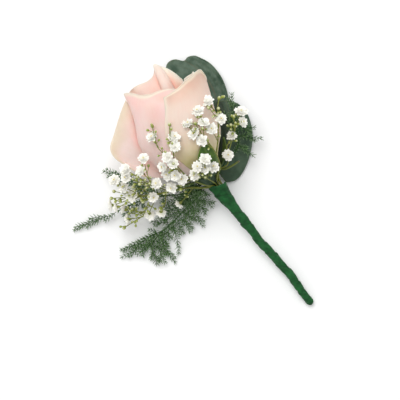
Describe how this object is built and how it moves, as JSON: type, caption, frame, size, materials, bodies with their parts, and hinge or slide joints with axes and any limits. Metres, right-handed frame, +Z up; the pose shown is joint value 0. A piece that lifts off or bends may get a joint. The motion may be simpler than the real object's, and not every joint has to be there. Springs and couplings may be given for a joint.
{
  "type": "boutonniere",
  "caption": "Rose boutonniere lying on its side: a blush bloom with round eucalyptus leaves, fern and baby's breath on a short tape-wrapped stem.",
  "frame": {"origin": "on the table under the middle of the whole piece", "axes": "+Y along the taped stem from its cut end towards the bloom, +Z up from the table, +X to the right of the stem"},
  "size_m": [0.0958, 0.1266, 0.0448],
  "materials": {
    "floral_tape": "satin waxed crepe paper",
    "annealed_wire": "dull",
    "hip_green": "matte plant skin",
    "blush_petal": "soft satin petal",
    "sepal_green": "satin leaf",
    "eucalyptus_leaf": "matte waxy leaf",
    "cut_twig": "matte bark",
    "fern_green": "matte needles",
    "gypsophila_white": "matte petals"
  },
  "bodies": {
    "root": {"stem_tape": "floral_tape", "support_wire": "annealed_wire", "rose_hip": "hip_green", "rose_petal_01": "blush_petal", "rose_petal_02": "blush_petal", "rose_petal_03": "blush_petal", "rose_petal_04": "blush_petal", "rose_petal_05": "blush_petal", "rose_petal_06": "blush_petal", "rose_petal_07": "blush_petal", "rose_petal_08": "blush_petal", "rose_petal_09": "blush_petal", "rose_petal_10": "blush_petal", "rose_petal_11": "blush_petal", "rose_petal_12": "blush_petal", "rose_petal_13": "blush_petal", "rose_petal_14": "blush_petal", "rose_petal_15": "blush_petal", "rose_petal_16": "blush_petal", "rose_sepal_1": "sepal_green", "rose_sepal_2": "sepal_green", "rose_sepal_3": "sepal_green", "rose_sepal_4": "sepal_green", "rose_sepal_5": "sepal_green", "eucalyptus_leaf_1": "eucalyptus_leaf", "eucalyptus_leaf_2": "eucalyptus_leaf", "side_twig": "cut_twig", "fern_frond_1": "fern_green", "fern_frond_2": "fern_green", "fern_frond_3": "fern_green", "gypsophila_spray_1": "gypsophila_white", "gypsophila_spray_2": "gypsophila_white", "gypsophila_spray_3": "gypsophila_white", "gypsophila_spray_4": "gypsophila_white", "gypsophila_spray_5": "gypsophila_white", "gypsophila_spray_6": "gypsophila_white"}
  },
  "joints": []
}
